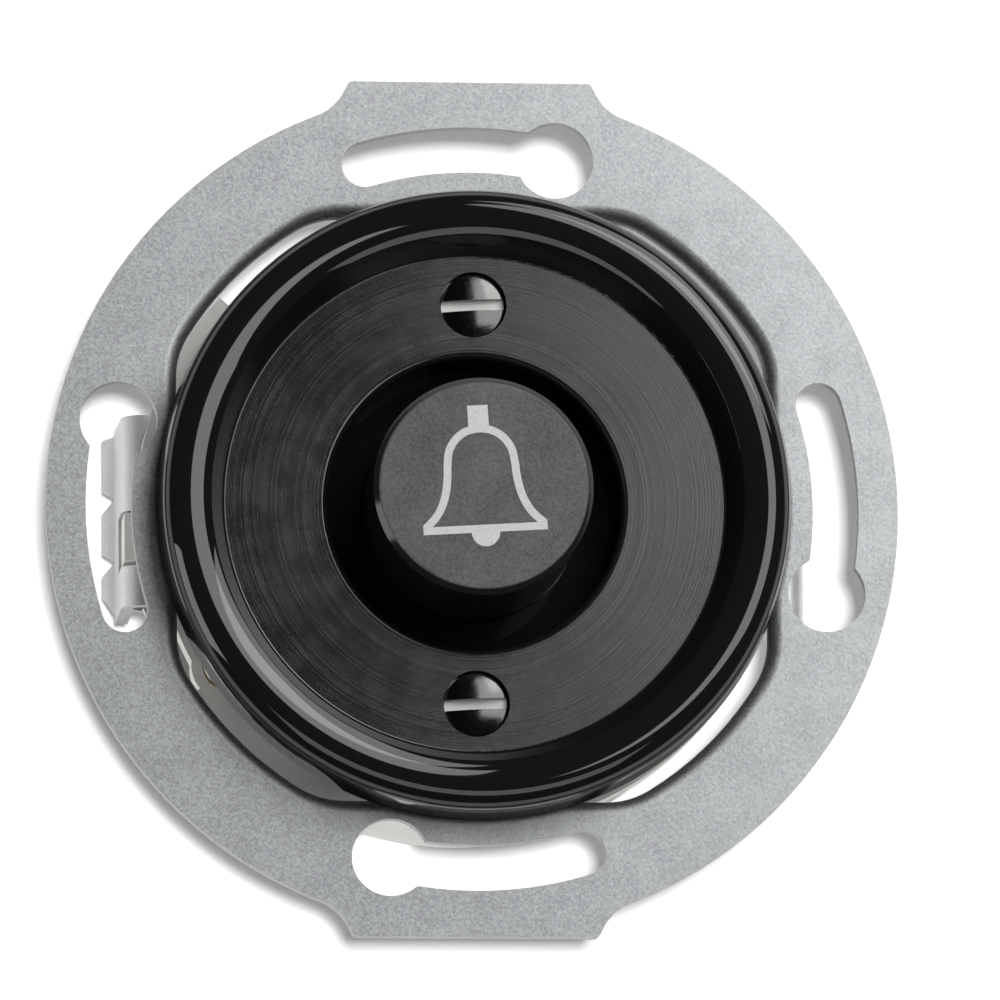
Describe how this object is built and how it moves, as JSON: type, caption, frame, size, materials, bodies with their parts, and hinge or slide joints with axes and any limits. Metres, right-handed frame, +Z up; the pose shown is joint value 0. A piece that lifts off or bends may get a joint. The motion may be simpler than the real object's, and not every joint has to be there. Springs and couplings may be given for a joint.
{
  "type": "doorbell push button",
  "caption": "Round flush-mounting doorbell push: keyhole-slotted metal ring, black rimmed disc, round button with a bell sign, fired clay base with spreading claws.",
  "frame": {"origin": "centre of the ring in the plane of its back face, which lies on the wall", "axes": "-Y out of the wall towards the person who presses, +Z up, +X to the right seen from the front"},
  "size_m": [0.0702, 0.0329, 0.0714],
  "materials": {
    "zinc_sheet": "matt zinc plate",
    "fired_clay": "fired, matt",
    "black_moulding": "semi-gloss, face matt turned",
    "black_button": "semi-gloss, top satin",
    "brass": "plain",
    "contact_metal": "silver-faced",
    "screw_steel": "bright zinc plate",
    "claw_steel": "zinc-plated strip",
    "spring_wire": "bright drawn wire"
  },
  "bodies": {
    "housing": {"support_ring": "zinc_sheet", "base": "fired_clay", "cover_disc": "black_moulding", "return_spring": "spring_wire", "cover_screw_top": "screw_steel", "cover_insert_top": "brass", "ring_screw_top": "screw_steel", "cover_screw_bottom": "screw_steel", "cover_insert_bottom": "brass", "ring_screw_bottom": "screw_steel", "fixed_contact_upper": "contact_metal", "contact_strip_upper": "brass", "terminal_block_upper": "brass", "terminal_screw_upper": "screw_steel", "fixed_contact_lower": "contact_metal", "contact_strip_lower": "brass", "terminal_block_lower": "brass", "terminal_screw_lower": "screw_steel", "claw_pin_right": "screw_steel", "claw_bush_right": "brass", "claw_pin_left": "screw_steel", "claw_bush_left": "brass"},
    "button": {"push_button": "black_button", "contact_plate": "brass", "moving_contact_upper": "contact_metal", "moving_contact_lower": "contact_metal"},
    "claw_right": {"claw_right": "claw_steel"},
    "claw_screw_right": {"claw_screw_right": "screw_steel"},
    "claw_left": {"claw_left": "claw_steel"},
    "claw_screw_left": {"claw_screw_left": "screw_steel"}
  },
  "joints": [
    {"name": "button_press", "type": "slide", "parent": "housing", "child": "button", "axis": [0, 1, 0], "range_m": [0, 0.002], "stiffness_N_per_m": 600, "springref_m": -0.003, "deforming": ["return_spring"]},
    {"name": "claw_right_swing", "type": "hinge", "parent": "housing", "child": "claw_right", "pos_m": [0.0266, 0.0086, 0], "axis": [0, 0, -1], "range_deg": [0, 20]},
    {"name": "claw_screw_right_travel", "type": "slide", "parent": "housing", "child": "claw_screw_right", "axis": [0, 1, 0], "range_m": [0, 0.00175]},
    {"name": "claw_left_swing", "type": "hinge", "parent": "housing", "child": "claw_left", "pos_m": [-0.0266, 0.0086, 0], "axis": [0, 0, 1], "range_deg": [0, 20]},
    {"name": "claw_screw_left_travel", "type": "slide", "parent": "housing", "child": "claw_screw_left", "axis": [0, 1, 0], "range_m": [0, 0.00175]}
  ],
  "couplings": [
    {"joint": "claw_right_swing", "follows": "claw_screw_right_travel", "rad_per_m": 199.4},
    {"joint": "claw_left_swing", "follows": "claw_screw_left_travel", "rad_per_m": 199.4}
  ]
}
